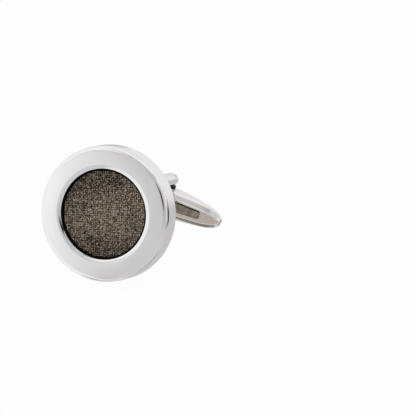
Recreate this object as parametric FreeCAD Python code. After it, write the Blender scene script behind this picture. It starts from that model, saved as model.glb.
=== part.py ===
import FreeCAD, Part
import math
import os

# A round cufflink: a polished cup with a woven metal inlay, a forked post and a swivel toggle that snaps.
# The origin is the centre of the cup's back, where the cuff bears. +Y runs along the post to the toggle,
# +X along the closed toggle, and +Z, up, along the hinge pin. Sizes are in millimetres.

# Head
head_diameter = 17.0
head_thickness = 3.5
front_edge_radius = 0.7
back_edge_chamfer = 0.4
opening_diameter = 11.4
opening_bevel = 0.2

# Inlay, from the ring's face inwards
inlay_recess = 0.5
inlay_gap = 0.3
mesh_thickness = 0.3
mesh_edge_chamfer = 0.12
backing_thickness = 0.5
bedding_floor = 0.12
bedding_rim = 0.1
bedding_rim_drop = 0.05
bedding_groove = 0.15

# Post
post_height = 18.3
foot_diameter = 7.4
foot_thickness = 0.9
foot_seat_depth = 0.3
foot_slot_depth = 0.35
foot_edge_chamfer = 0.2
arm_thickness = 1.3
arm_tip_width = 1.8
arm_root_width = 3.0
arm_bend_radius = 0.9
arm_edge_chamfer = 0.35

# Rivet through fork, foot and cup
rivet_diameter = 1.6
rivet_head_diameter = 2.6
rivet_head_height = 0.6
rivet_flare_diameter = 2.6
rivet_flare_depth = 0.5

# Hinge
pin_diameter = 0.9
pin_head_diameter = 1.06
pin_head_height = 0.18
pin_flat_depth = 0.1
washer_diameter = 1.7
washer_thickness = 0.3

# Toggle: its taper ends at the tip sizes, which the rounded nose then closes
toggle_length = 17.0
toggle_width = 3.2
toggle_tip_width = 2.65
toggle_depth = 3.8
toggle_tip_depth = 1.65
toggle_crown = 3.0
toggle_bevel = 0.5
toggle_hinge_depth = 1.9
toggle_side_flat_depth = 0.12
nose_sharpness = 8
nose_bevel_share = 0.8
nose_steps = 16

# Slot in the toggle's flat face, and the leaf spring in it
slot_length = 5.6
slot_overrun = 1.0
slot_width = 1.58
slot_end_width = 1.1
slot_corner_radius = 0.3
spring_thickness = 0.25
spring_drop = 0.2
spring_tail = 1.0

# Clearances
seat_clearance = 0.01
running_clearance = 0.03
snap_clearance = 0.02
spring_side_clearance = 0.1
cut_margin = 1.0
level_tolerance = 1e-6

# Places that follow from the sizes
face_y = -head_thickness
cup_floor_y = face_y + inlay_recess + mesh_thickness + backing_thickness + bedding_floor
inlay_radius = opening_diameter / 2 - inlay_gap
foot_top_y = foot_thickness - foot_seat_depth
bridge_y = foot_top_y - foot_slot_depth
bridge_top_y = bridge_y + arm_thickness
hinge_y = post_height
toggle_face_y = hinge_y - toggle_hinge_depth
toggle_side_y = toggle_face_y + toggle_bevel
pin_flat = pin_diameter / 2 - pin_flat_depth
hinge_bore_radius = pin_diameter / 2 + running_clearance
slot_floor_y = hinge_y - pin_flat - snap_clearance
spring_face_y = slot_floor_y - spring_thickness


def vector(x, y, z):
    return FreeCAD.Vector(x, y, z)


def disc(radius, y_from, y_to):
    """A solid disc about the post's axis."""
    return Part.makeCylinder(radius, y_to - y_from, vector(0, y_from, 0), vector(0, 1, 0))


def rod(radius, z_from, z_to):
    """A solid rod about the hinge axis."""
    return Part.makeCylinder(radius, z_to - z_from, vector(0, hinge_y, z_from), vector(0, 0, 1))


def dome(rise, radius, base, direction):
    """A domed rivet head: the cap of a ball, with this rise over a flat base of this radius."""
    sphere_radius = (radius ** 2 + rise ** 2) / (2 * rise)
    centre = base + direction * (rise - sphere_radius)
    ball = Part.makeSphere(sphere_radius, centre)
    slab = Part.makeCylinder(radius + cut_margin, rise + cut_margin, base, direction)
    return ball.common(slab)


def prism(points, base_y, depth):
    """A prism on an outline drawn looking along the post, from base_y for this depth along +Y."""
    corners = [vector(x, base_y, z) for x, z in points]
    outline = Part.makePolygon(corners + corners[:1])
    return Part.Face(outline).extrude(vector(0, depth, 0))


def edges_at(shape, y_level):
    """The edges of a piece that lie flat at this height along the post."""
    found = []
    for edge in shape.Edges:
        box = edge.BoundBox
        if max(abs(box.YMin - y_level), abs(box.YMax - y_level)) < level_tolerance:
            found.append(edge)
    return found


def widest(edges):
    return max(edges, key=lambda edge: edge.BoundBox.XLength)


# Toggle outline
half_length = toggle_length / 2


def nose(x):
    """How far open the rounded nose is at this distance from the hinge: 1 in the middle, 0 at the tip."""
    return math.sqrt(1 - (abs(x) / half_length) ** nose_sharpness)


def taper(middle, tip, x):
    """A size that runs from its value in the middle, over a round crown, to its value at the tip."""
    run = math.hypot(x, toggle_crown) - toggle_crown
    full_run = math.hypot(half_length, toggle_crown) - toggle_crown
    return middle + (tip - middle) * run / full_run


def back_circle(face_y_at, half_width, depth, bevel):
    """The centre and radius of the round back, which runs from bevel edge to bevel edge."""
    side_y = face_y_at + bevel
    back_y = face_y_at + depth
    centre_y = (back_y ** 2 - side_y ** 2 - half_width ** 2) / (2 * (back_y - side_y))
    return centre_y, back_y - centre_y


def toggle_section(x):
    """The toggle's section at x: a flat face, two bevels and a round back."""
    closing = nose(x)
    half_width = taper(toggle_width, toggle_tip_width, x) / 2 * closing
    bevel = min(toggle_bevel, nose_bevel_share * half_width)
    flat_y = toggle_side_y - bevel
    depth = bevel + (taper(toggle_depth, toggle_tip_depth, x) - toggle_bevel) * closing
    centre_y, radius = back_circle(flat_y, half_width, depth, bevel)
    turn = math.atan2(half_width, flat_y + bevel - centre_y) / 2
    side_y = centre_y + radius * math.cos(turn)
    side_z = radius * math.sin(turn)
    back = vector(x, flat_y + depth, 0)
    upper_flat = vector(x, flat_y, half_width - bevel)
    lower_flat = vector(x, flat_y, bevel - half_width)
    upper_side = vector(x, flat_y + bevel, half_width)
    lower_side = vector(x, flat_y + bevel, -half_width)
    return Part.Wire([
        Part.LineSegment(lower_flat, upper_flat).toShape(),
        Part.LineSegment(upper_flat, upper_side).toShape(),
        Part.Arc(upper_side, vector(x, side_y, side_z), back).toShape(),
        Part.Arc(back, vector(x, side_y, -side_z), lower_side).toShape(),
        Part.LineSegment(lower_side, lower_flat).toShape(),
    ])


hub_radius = back_circle(toggle_face_y, toggle_width / 2, toggle_depth, toggle_bevel)[1]
hub_half_width = hub_radius - toggle_side_flat_depth
washer_from_z = hub_half_width + running_clearance
arm_inner_z = washer_from_z + washer_thickness + running_clearance
arm_outer_z = arm_inner_z + arm_thickness


def make_bezel_cup():
    cup = disc(head_diameter / 2, face_y, 0)
    cup = cup.makeFillet(front_edge_radius, edges_at(cup, face_y))
    cup = cup.makeChamfer(back_edge_chamfer, [widest(edges_at(cup, 0))])
    cup = cup.cut(disc(opening_diameter / 2, face_y - cut_margin, cup_floor_y))
    mouth = min(edges_at(cup, face_y), key=lambda edge: edge.BoundBox.XLength)
    cup = cup.makeChamfer(opening_bevel, [mouth])
    cup = cup.cut(disc(foot_diameter / 2 + seat_clearance, -foot_seat_depth, cut_margin))
    return cup.cut(rivet_shape(seat_clearance))


def rivet_shape(clearance):
    """The rivet's shank and flared end, larger all round by the clearance where it cuts a hole."""
    shank = disc(rivet_diameter / 2 + clearance, cup_floor_y, bridge_top_y)
    flare = Part.makeCone(
        rivet_flare_diameter / 2 + clearance,
        rivet_diameter / 2 + clearance,
        rivet_flare_depth,
        vector(0, cup_floor_y, 0),
        vector(0, 1, 0),
    )
    return shank.fuse(flare).removeSplitter()


def make_inlay_bedding():
    outer = opening_diameter / 2 - seat_clearance
    rim_y = face_y + opening_bevel + bedding_rim_drop
    tray = disc(outer, rim_y, cup_floor_y)
    tray = tray.cut(disc(outer - bedding_rim, rim_y - cut_margin, face_y + inlay_recess + bedding_groove))
    return tray.cut(disc(inlay_radius + seat_clearance, rim_y - cut_margin, cup_floor_y - bedding_floor))


def make_inlay_backing():
    back_y = cup_floor_y - bedding_floor
    return disc(inlay_radius, back_y - backing_thickness, back_y)


def make_inlay_mesh():
    top_y = face_y + inlay_recess
    mesh = disc(inlay_radius, top_y, top_y + mesh_thickness)
    return mesh.makeChamfer(mesh_edge_chamfer, edges_at(mesh, top_y))


def make_post_foot():
    foot = disc(foot_diameter / 2, -foot_seat_depth, foot_top_y)
    foot = foot.makeChamfer(foot_edge_chamfer, edges_at(foot, foot_top_y))
    half_slot = arm_root_width / 2 + seat_clearance
    reach = foot_diameter
    slot = [(-half_slot, -reach), (half_slot, -reach), (half_slot, reach), (-half_slot, reach)]
    foot = foot.cut(prism(slot, bridge_y, foot_slot_depth + cut_margin))
    return foot.cut(rivet_shape(seat_clearance))


def channel(half_width, y_from, y_to, corner_radius):
    """A block as wide as the strip, from -half_width to half_width across the arms, with rounded feet."""
    block = Part.makeBox(
        arm_root_width, y_to - y_from, 2 * half_width, vector(-arm_root_width / 2, y_from, -half_width)
    )
    feet = [edge for edge in edges_at(block, y_from) if edge.BoundBox.XLength > arm_root_width / 2]
    return block.makeFillet(corner_radius, feet)


def arm_outline():
    """The strip's outline seen along the hinge pin: a taper that ends in a round eye about the pin."""
    root = arm_root_width / 2
    tip = arm_tip_width / 2
    low = -arm_outer_z
    foot_left = vector(-root, bridge_y, low)
    foot_right = vector(root, bridge_y, low)
    eye_left = vector(-tip, hinge_y, low)
    eye_right = vector(tip, hinge_y, low)
    eye_top = vector(0, hinge_y + tip, low)
    outline = Part.Wire([
        Part.LineSegment(foot_left, foot_right).toShape(),
        Part.LineSegment(foot_right, eye_right).toShape(),
        Part.Arc(eye_right, eye_top, eye_left).toShape(),
        Part.LineSegment(eye_left, foot_left).toShape(),
    ])
    return Part.Face(outline).extrude(vector(0, 0, 2 * arm_outer_z))


def make_post_yoke():
    top_y = hinge_y + arm_tip_width
    strip = channel(arm_outer_z, bridge_y, top_y, arm_bend_radius + arm_thickness)
    strip = strip.cut(channel(arm_inner_z, bridge_top_y, top_y + cut_margin, arm_bend_radius))
    yoke = strip.common(arm_outline())
    yoke = yoke.makeChamfer(arm_edge_chamfer, yoke.Edges)
    yoke = yoke.cut(rod(pin_diameter / 2 + seat_clearance, -arm_outer_z, arm_outer_z))
    return yoke.cut(rivet_shape(seat_clearance))


def make_post_rivet():
    head = dome(rivet_head_height, rivet_head_diameter / 2, vector(0, bridge_top_y, 0), vector(0, 1, 0))
    return rivet_shape(0).fuse(head).removeSplitter()


def make_hinge_pin():
    pin = rod(pin_diameter / 2, -arm_outer_z, arm_outer_z)
    side = 2 * pin_flat
    square = Part.makeBox(side, side, slot_width, vector(-pin_flat, hinge_y - pin_flat, -slot_width / 2))
    middle = rod(pin_diameter / 2, -slot_width / 2, slot_width / 2)
    pin = pin.cut(middle.cut(square))
    for way in (1, -1):
        seat = vector(0, hinge_y, way * arm_outer_z)
        pin = pin.fuse(dome(pin_head_height, pin_head_diameter / 2, seat, vector(0, 0, way)))
    return pin.removeSplitter()


def make_washer(low_z):
    high_z = low_z + washer_thickness
    ring = rod(washer_diameter / 2, low_z, high_z)
    return ring.cut(rod(hinge_bore_radius, low_z - cut_margin, high_z + cut_margin))


def make_upper_washer():
    return make_washer(washer_from_z)


def make_lower_washer():
    return make_washer(-washer_from_z - washer_thickness)


def slot_outline(side_clearance, start_x, end_x):
    """The tapered outline that slot and spring share, narrower all round by the clearance."""
    half_root = slot_width / 2 - side_clearance
    half_end = slot_end_width / 2 - side_clearance
    taper_end = slot_length - slot_end_width / 2
    return [
        (start_x, -half_root),
        (0, -half_root),
        (taper_end, -half_end),
        (end_x, -half_end),
        (end_x, half_end),
        (taper_end, half_end),
        (0, half_root),
        (start_x, half_root),
    ]


def slot_block(clearance, top_y):
    """A block in the slot's shape, from top_y to the slot's floor, with rounded corners at its outer end."""
    depth = slot_floor_y - top_y
    end_x = slot_length - clearance
    block = prism(slot_outline(clearance, clearance - slot_overrun, end_x), top_y, depth)
    corners = [
        edge
        for edge in block.Edges
        if edge.BoundBox.YLength > depth / 2 and edge.BoundBox.XMin > end_x - level_tolerance
    ]
    return block.makeFillet(slot_corner_radius - clearance, corners)


def make_toggle_body():
    stations = [half_length * math.sin(math.pi / 2 * step / nose_steps) for step in range(nose_steps)]
    sections = [toggle_section(x) for x in stations]
    tip = Part.Vertex(vector(half_length, toggle_side_y, 0))
    half = Part.makeLoft(sections + [tip], True, True)
    body = half.fuse(half.mirror(vector(0, 0, 0), vector(1, 0, 0))).removeSplitter()
    for low_z in (hub_half_width, -hub_half_width - cut_margin):
        body = body.cut(rod(washer_diameter / 2 + running_clearance, low_z, low_z + cut_margin))
    body = body.cut(rod(hinge_bore_radius, -hub_radius, hub_radius))
    body = body.cut(slot_block(0, toggle_face_y - cut_margin))
    slit_half = slot_end_width / 2 - spring_side_clearance + seat_clearance
    slit_end = slot_length + spring_tail
    slit = [
        (slot_length - cut_margin, -slit_half),
        (slit_end, -slit_half),
        (slit_end, slit_half),
        (slot_length - cut_margin, slit_half),
    ]
    return body.cut(prism(slit, spring_face_y - seat_clearance, spring_thickness + seat_clearance))


def make_leaf_spring():
    """A strip folded like a hairpin: one leaf lies on the pin and the other closes the slot."""
    cover_y = toggle_face_y + spring_drop
    gap_y = cover_y + spring_thickness
    fold_x = slot_length - spring_side_clearance - spring_thickness
    strip = slot_block(spring_side_clearance, cover_y)
    gap = Part.makeBox(
        fold_x + toggle_length, spring_face_y - gap_y, 2 * slot_width, vector(-toggle_length, gap_y, -slot_width)
    )
    half_tail = slot_end_width / 2 - spring_side_clearance
    tail = Part.makeBox(
        slot_length + spring_tail - seat_clearance - fold_x,
        spring_thickness,
        2 * half_tail,
        vector(fold_x, spring_face_y, -half_tail),
    )
    return strip.cut(gap).fuse(tail).removeSplitter()


pieces = {
    "bezel_cup": make_bezel_cup,
    "inlay_bedding": make_inlay_bedding,
    "inlay_backing": make_inlay_backing,
    "inlay_mesh": make_inlay_mesh,
    "post_foot": make_post_foot,
    "post_yoke": make_post_yoke,
    "post_rivet": make_post_rivet,
    "hinge_pin": make_hinge_pin,
    "upper_washer": make_upper_washer,
    "lower_washer": make_lower_washer,
    "toggle_body": make_toggle_body,
    "leaf_spring": make_leaf_spring,
}

os.makedirs("parts", exist_ok=True)
for name, make in pieces.items():
    make().exportStep(f"parts/{name}.step")
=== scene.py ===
"""A round cufflink in a plain white studio: polished metal, a woven inlay and a swivel toggle."""
import logging
import math
import random
from collections.abc import Callable, Mapping, Sequence
from dataclasses import dataclass, replace
from enum import Enum
from typing import Any

import bmesh
import bpy
from mathutils import Matrix, Vector


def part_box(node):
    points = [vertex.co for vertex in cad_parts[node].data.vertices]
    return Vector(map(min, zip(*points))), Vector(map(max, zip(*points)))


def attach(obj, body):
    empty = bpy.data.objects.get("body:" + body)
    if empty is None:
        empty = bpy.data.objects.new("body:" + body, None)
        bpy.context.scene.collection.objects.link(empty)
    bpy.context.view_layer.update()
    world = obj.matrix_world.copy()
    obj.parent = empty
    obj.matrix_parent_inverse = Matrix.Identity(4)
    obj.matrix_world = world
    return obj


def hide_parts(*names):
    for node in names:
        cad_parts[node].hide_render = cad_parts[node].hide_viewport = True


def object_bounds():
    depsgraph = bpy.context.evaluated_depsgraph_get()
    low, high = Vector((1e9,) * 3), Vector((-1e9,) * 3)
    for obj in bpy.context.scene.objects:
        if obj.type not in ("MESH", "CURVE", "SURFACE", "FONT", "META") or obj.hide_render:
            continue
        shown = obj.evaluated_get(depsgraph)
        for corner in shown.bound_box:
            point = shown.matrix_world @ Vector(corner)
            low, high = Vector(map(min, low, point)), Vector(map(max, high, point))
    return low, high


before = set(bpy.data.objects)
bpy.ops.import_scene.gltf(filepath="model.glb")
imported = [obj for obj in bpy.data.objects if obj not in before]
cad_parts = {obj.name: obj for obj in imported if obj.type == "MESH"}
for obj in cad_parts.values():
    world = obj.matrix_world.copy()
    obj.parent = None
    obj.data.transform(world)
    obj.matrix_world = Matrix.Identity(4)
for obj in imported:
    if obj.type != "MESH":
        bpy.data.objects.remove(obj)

LOG = logging.getLogger("cufflink")
CAD_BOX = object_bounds()

MM = 0.001
NEAR = 1e-6           # two places this close are taken as one
MERGE = NEAR / 2      # points this close are merged
ON_PLANE = NEAR / 10  # points this close to a cutting plane lie on it
SQUARELY = 0.9        # how far along one axis a face's normal goes, to look that way
LEVEL = 0.99          # the same for a flat face beside a bevel
FACE_WEIGHT = 100     # how much large faces count in the shading
QUARTER_TURN = math.pi / 2
ACROSS = Vector((1.0, 0.0, 0.0))
UP = Vector((0.0, 0.0, 1.0))
EVEN_GRAIN = (1.0, 1.0, 1.0)
Colour = tuple[float, float, float]
Pair = tuple[float, float]


class Body(Enum):
    """The bodies that a piece can ride on."""

    HEAD = "head"
    TOGGLE = "toggle"


class Slot(Enum):
    """The record's material slots."""

    HEAD_METAL = "polished_head"
    POST_METAL = "polished_post"
    TOGGLE_METAL = "polished_toggle"
    WEAVE = "woven_mesh"
    WASHER = "washer"
    SPRING = "spring"


class Signal:
    """A value in a shader, on which Python's operators add Math nodes."""

    def __init__(self, recipe: "Recipe", socket: bpy.types.NodeSocket) -> None:
        """Wrap one output socket of a recipe's node."""
        self.recipe = recipe
        self.socket = socket

    def _math(self, operation: str, *values: Any) -> "Signal":
        """The result of one Math node on numbers and signals."""
        return self.recipe.read("ShaderNodeMath", {"operation": operation}, dict(enumerate(values)))

    def __add__(self, other: Any) -> "Signal":
        """The sum."""
        return self._math("ADD", self, other)

    def __sub__(self, other: Any) -> "Signal":
        """The difference."""
        return self._math("SUBTRACT", self, other)

    def __rsub__(self, other: Any) -> "Signal":
        """The difference, with a number first."""
        return self._math("SUBTRACT", other, self)

    def __mul__(self, other: Any) -> "Signal":
        """The product."""
        return self._math("MULTIPLY", self, other)

    __radd__ = __add__
    __rmul__ = __mul__

    def __abs__(self) -> "Signal":
        """The value without its sign."""
        return self._math("ABSOLUTE", self)

    def bearing(self, other: "Signal") -> "Signal":
        """The angle whose tangent is this value over the other."""
        return self._math("ARCTAN2", self, other)

    def arcsine(self) -> "Signal":
        """The angle whose sine is this value."""
        return self._math("ARCSINE", self)

    def root(self) -> "Signal":
        """The square root."""
        return self._math("SQRT", self)

    def wrapped(self) -> "Signal":
        """The angle brought to within half a turn of zero."""
        return self._math("WRAP", self, math.pi, -math.pi)

    def eased(self, start: float, end: float, low: float = 0.0, high: float = 1.0) -> "Signal":
        """Ease from low to high while the value goes from start to end."""
        names = {"Value": self, "From Min": start, "From Max": end, "To Min": low, "To Max": high}
        return self.recipe.read("ShaderNodeMapRange", {"interpolation_type": "SMOOTHSTEP"}, names)


class Recipe:
    """The node tree of one material or of the world, built node by node."""

    def __init__(self, tree: bpy.types.NodeTree) -> None:
        """Start with an empty tree."""
        tree.nodes.clear()
        self.tree = tree

    def node(
        self,
        kind: str,
        settings: Mapping[str, Any] | None = None,
        inputs: Mapping[str | int, Any] | None = None,
    ) -> bpy.types.Node:
        """Add a node.

        Args:
            kind: The node's type.
            settings: Its own settings, set first. A ramp's stops are pairs of place and colour.
            inputs: The values, signals or sockets that go into its inputs.

        Returns:
            The new node.
        """
        made = self.tree.nodes.new(kind)
        for name, value in (settings or {}).items():
            if name == "stops":
                self._set_stops(made.color_ramp, value)
            else:
                setattr(made, name, value)
        for name, value in (inputs or {}).items():
            self._feed(made.inputs[name], value)
        return made

    def read(
        self,
        kind: str,
        settings: Mapping[str, Any] | None = None,
        inputs: Mapping[str | int, Any] | None = None,
        output: str | int = 0,
    ) -> Signal:
        """Add a node and take one of its outputs, by name or number."""
        return Signal(self, self.node(kind, settings, inputs).outputs[output])

    def blend(self, share: Any, first: Any, second: Any, way: str = "MIX") -> Signal:
        """Lay a share of the second colour on the first, in one of Mix's ways."""
        settings = {"data_type": "RGBA", "blend_type": way}
        return self.read("ShaderNodeMix", settings, {0: share, 6: first, 7: second}, 2)

    def place(self, source: str = "Object") -> tuple[Signal, Signal, Signal]:
        """Split coordinates into their three axes.

        Args:
            source: Which of Texture Coordinate's outputs to read.

        Returns:
            The three values.
        """
        whole = self.read("ShaderNodeTexCoord", output=source)
        split = self.node("ShaderNodeSeparateXYZ", None, {0: whole})
        return tuple(Signal(self, split.outputs[axis]) for axis in range(3))

    def noise(
        self, scale: float, detail: float = 2.0, stretch: Sequence[float] = EVEN_GRAIN
    ) -> Signal:
        """Soft noise on the piece's own coordinates.

        Args:
            scale: How many patches there are in a metre.
            detail: How many finer layers lie on them.
            stretch: How long the patches are along each axis.

        Returns:
            The noise, around a half.
        """
        place = self.read("ShaderNodeTexCoord", output="Object")
        if tuple(stretch) != EVEN_GRAIN:
            turned = {"Vector": place, "Scale": Vector(stretch)}
            place = self.read("ShaderNodeMapping", {"vector_type": "TEXTURE"}, turned)
        inputs = {"Vector": place, "Scale": scale, "Detail": detail}
        return self.read("ShaderNodeTexNoise", None, inputs)

    def bump(self, height: Signal, strength: float, depth: float) -> Signal:
        """The normal of a surface that a height raises."""
        inputs = {"Strength": strength, "Distance": depth, "Height": height}
        return self.read("ShaderNodeBump", None, inputs)

    @staticmethod
    def _set_stops(ramp: bpy.types.ColorRamp, stops: Sequence[tuple[float, Colour]]) -> None:
        """Give a ramp its stops.

        Args:
            ramp: The colour ramp.
            stops: Pairs of place and colour.
        """
        while len(ramp.elements) < len(stops):
            ramp.elements.new(1.0)
        for element, (place, colour) in zip(ramp.elements, stops):
            element.position = place
            element.color = (*colour, 1.0)

    def _feed(self, socket: bpy.types.NodeSocket, value: Any) -> None:
        """Link a signal or a socket to an input, or set the input's value.

        Args:
            socket: The input.
            value: A signal, a socket, a colour or a plain value.
        """
        if isinstance(value, Signal):
            self.tree.links.new(value.socket, socket)
        elif isinstance(value, bpy.types.NodeSocket):
            self.tree.links.new(value, socket)
        else:
            socket.default_value = (*value, 1.0) if socket.type == "RGBA" else value


def new_material(name: str) -> tuple[bpy.types.Material, Recipe]:
    """Make an empty material.

    Args:
        name: The material's name.

    Returns:
        The material, and the recipe for its nodes.
    """
    material = bpy.data.materials.new(name)
    material.use_nodes = True
    return material, Recipe(material.node_tree)


@dataclass(frozen=True)
class Finish:
    """A finish, whose kinds say what goes into the sockets of its surface."""

    name: str

    def sockets(self, recipe: Recipe) -> dict[str, Any]:
        """The values and signals for the surface, by socket."""
        raise NotImplementedError

    def make(self) -> bpy.types.Material:
        """Make the finish's material.

        Returns:
            The material.
        """
        material, recipe = new_material(self.name)
        shader = recipe.read("ShaderNodeBsdfPrincipled", None, self.sockets(recipe))
        recipe.node("ShaderNodeOutputMaterial", None, {"Surface": shader})
        return material


@dataclass(frozen=True)
class PolishedPlating(Finish):
    """Bright plating on buffed metal, with the faint clouding that handling leaves."""

    tint: Colour
    shade: Colour
    clean_roughness: float = 0.025
    cloud_roughness: float = 0.035
    cloud_scale: float = 260.0
    cloud_detail: float = 4.0
    cloud_limits: Pair = (0.35, 0.75)
    tone_scale: float = 420.0
    tone_detail: float = 3.0
    ripple_scale: float = 900.0
    ripple_strength: float = 0.012
    ripple_depth: float = 0.02 * MM
    # a ring of painted shade round the pin, where the pin's head meets the fork
    crevice_shade_y: float | None = None
    crevice_shade_radius: float = 0.56 * MM
    crevice_shade_width: float = 0.1 * MM
    crevice_shade_colour: Colour = (0.02, 0.018, 0.016)
    satin_y: float | None = None
    satin_edge: float = 0.03 * MM
    satin_tint: Colour = (0.83, 0.765, 0.695)
    satin_roughness: float = 0.26

    def paint_crevice_shade(self, recipe: Recipe, colour: Signal) -> Signal:
        """Paint shade into the crevice round the pin, as a dark ring on the plating.

        Args:
            recipe: The material's recipe.
            colour: The plating's colour.

        Returns:
            The colour with the painted shade ring.
        """
        x, y = recipe.place()[:2]
        reach = (x * x + (y - self.crevice_shade_y) * (y - self.crevice_shade_y)).root()
        # painted shade: a dark ring at the crevice round the pin's head
        ring = abs(reach - self.crevice_shade_radius).eased(self.crevice_shade_width / 2, self.crevice_shade_width, 1.0, 0.0)
        return recipe.blend(ring, colour, self.crevice_shade_colour)

    def sockets(self, recipe: Recipe) -> dict[str, Any]:
        """Cloud and ripple the plating, with its painted crevice shade round the pin and its satin
        face where it has them.

        Args:
            recipe: The material's recipe.

        Returns:
            The values and signals for the surface, by socket.
        """
        cloud = recipe.noise(self.cloud_scale, self.cloud_detail).eased(*self.cloud_limits)
        ripple = recipe.noise(self.ripple_scale)
        tone = recipe.noise(self.tone_scale, self.tone_detail)
        colour = recipe.blend(tone, self.tint, self.shade)
        roughness = self.clean_roughness + self.cloud_roughness * cloud
        # painted crevice shade round the pin, where the plating has it
        if self.crevice_shade_y is not None:
            colour = self.paint_crevice_shade(recipe, colour)
        if self.satin_y is not None:
            end = self.satin_y + self.satin_edge
            satin = recipe.place()[1].eased(self.satin_y, end, 1.0, 0.0)
            colour = recipe.blend(satin, colour, self.satin_tint)
            roughness = roughness + (self.satin_roughness - roughness) * satin
        return {
            "Base Color": colour,
            "Metallic": 1.0,
            "Roughness": roughness,
            "Normal": recipe.bump(ripple, self.ripple_strength, self.ripple_depth),
        }


@dataclass(frozen=True)
class WovenWire(Finish):
    """Brown-grey flattened wire, mottled light and dark along every strand."""

    light: Colour
    middle: Colour
    dark: Colour
    strand_attribute: str
    metallic: float = 0.8
    roughness: float = 0.34
    fleck_scale: float = 7600.0
    fleck_share: float = 0.8
    patch_scale: float = 170.0
    patch_detail: float = 0.0
    patch_limits: Pair = (0.3, 0.7)
    patch_share: float = 0.14
    strand_share: float = 0.06
    tone_stops: tuple[float, float, float] = (0.25, 0.5, 0.76)
    scratch_scale: float = 9000.0
    scratch_detail: float = 1.0
    scratch_strength: float = 0.2
    scratch_depth: float = 0.01 * MM
    scratch_roughness: float = 0.16

    def sockets(self, recipe: Recipe) -> dict[str, Any]:
        """Fleck and scratch the wire, each strand in its own tone.

        Args:
            recipe: The material's recipe.

        Returns:
            The values and signals for the surface, by socket.
        """
        named = {"attribute_name": self.strand_attribute}
        strand = recipe.read("ShaderNodeAttribute", named, None, "Fac")
        place = recipe.read("ShaderNodeTexCoord", output="Object")
        inputs = {"Vector": place, "Scale": self.fleck_scale}
        fleck = recipe.read("ShaderNodeTexVoronoi", None, inputs, "Color")
        patch = recipe.noise(self.patch_scale, self.patch_detail).eased(*self.patch_limits)
        scratch = recipe.noise(self.scratch_scale, self.scratch_detail)
        level = fleck * self.fleck_share + patch * self.patch_share + strand * self.strand_share
        stops = tuple(zip(self.tone_stops, (self.dark, self.middle, self.light)))
        return {
            "Base Color": recipe.read("ShaderNodeValToRGB", {"stops": stops}, {"Fac": level}),
            "Metallic": self.metallic,
            "Roughness": self.roughness + self.scratch_roughness * scratch,
            "Normal": recipe.bump(scratch, self.scratch_strength, self.scratch_depth),
        }


@dataclass(frozen=True)
class BlackShadeBed(Finish):
    """Set adhesive round the inlay, coloured near black as painted shade for the recess round the
    disc; slightly glossy and uneven.
    """

    black: Colour
    grey: Colour
    roughness: float = 0.42
    shine: float = 0.08
    lump_scale: float = 1500.0
    lump_detail: float = 3.0
    lump_strength: float = 0.4
    lump_depth: float = 0.03 * MM
    lump_roughness: float = 0.2

    def sockets(self, recipe: Recipe) -> dict[str, Any]:
        """Make the adhesive lumpy.

        Args:
            recipe: The material's recipe.

        Returns:
            The values and signals for the surface, by socket.
        """
        lump = recipe.noise(self.lump_scale, self.lump_detail)
        return {
            "Base Color": recipe.blend(lump, self.black, self.grey),
            "Roughness": self.roughness + self.lump_roughness * lump,
            "Specular IOR Level": self.shine,
            "Normal": recipe.bump(lump, self.lump_strength, self.lump_depth),
        }


@dataclass(frozen=True)
class PlainSteel(Finish):
    """Unplated steel with a fine grain, for washers, spring and backing; the washers and the
    backing get near-black colours as painted shade.
    """

    light: Colour
    dark: Colour
    grain: tuple[float, float, float] = EVEN_GRAIN
    roughness: float = 0.3
    stain_scale: float = 900.0
    grain_share: float = 0.5
    grain_scale: float = 2600.0
    detail: float = 3.0
    mottle_limits: Pair = (0.3, 0.7)
    grain_strength: float = 0.25
    grain_depth: float = 0.01 * MM
    grain_roughness: float = 0.15

    def sockets(self, recipe: Recipe) -> dict[str, Any]:
        """Grain and stain the steel.

        Args:
            recipe: The material's recipe.

        Returns:
            The values and signals for the surface, by socket.
        """
        grain = recipe.noise(self.grain_scale, self.detail, self.grain)
        stain = recipe.noise(self.stain_scale, self.detail)
        mottle = grain * self.grain_share + stain * (1 - self.grain_share)
        return {
            "Base Color": recipe.blend(mottle.eased(*self.mottle_limits), self.dark, self.light),
            "Metallic": 1.0,
            "Roughness": self.roughness + self.grain_roughness * grain,
            "Normal": recipe.bump(grain, self.grain_strength, self.grain_depth),
        }


POST_PLATING = PolishedPlating("post_plating", (0.86, 0.86, 0.865), (0.82, 0.82, 0.825))


def set_mode(mode: str) -> None:
    """Go to edit mode or object mode."""
    bpy.ops.object.mode_set(mode=mode)


def clear_bench() -> None:
    """Leave edit mode and deselect everything, so that an operator meets only what comes next."""
    if bpy.context.mode != "OBJECT":
        set_mode("OBJECT")
    bpy.ops.object.select_all(action="DESELECT")


def put_on_bench(piece: bpy.types.Object) -> None:
    """Select one piece alone, in object mode, and make it the active one.

    Args:
        piece: The piece.
    """
    clear_bench()
    bpy.context.view_layer.objects.active = piece
    piece.select_set(True)


def copy_of(master: bpy.types.Object) -> bpy.types.Object:
    """Copy a piece with its own mesh, and put the copy on the bench.

    Args:
        master: The piece to copy.

    Returns:
        The copy.
    """
    copy = master.copy()
    copy.data = master.data.copy()
    bpy.context.scene.collection.objects.link(copy)
    put_on_bench(copy)
    return copy


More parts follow.
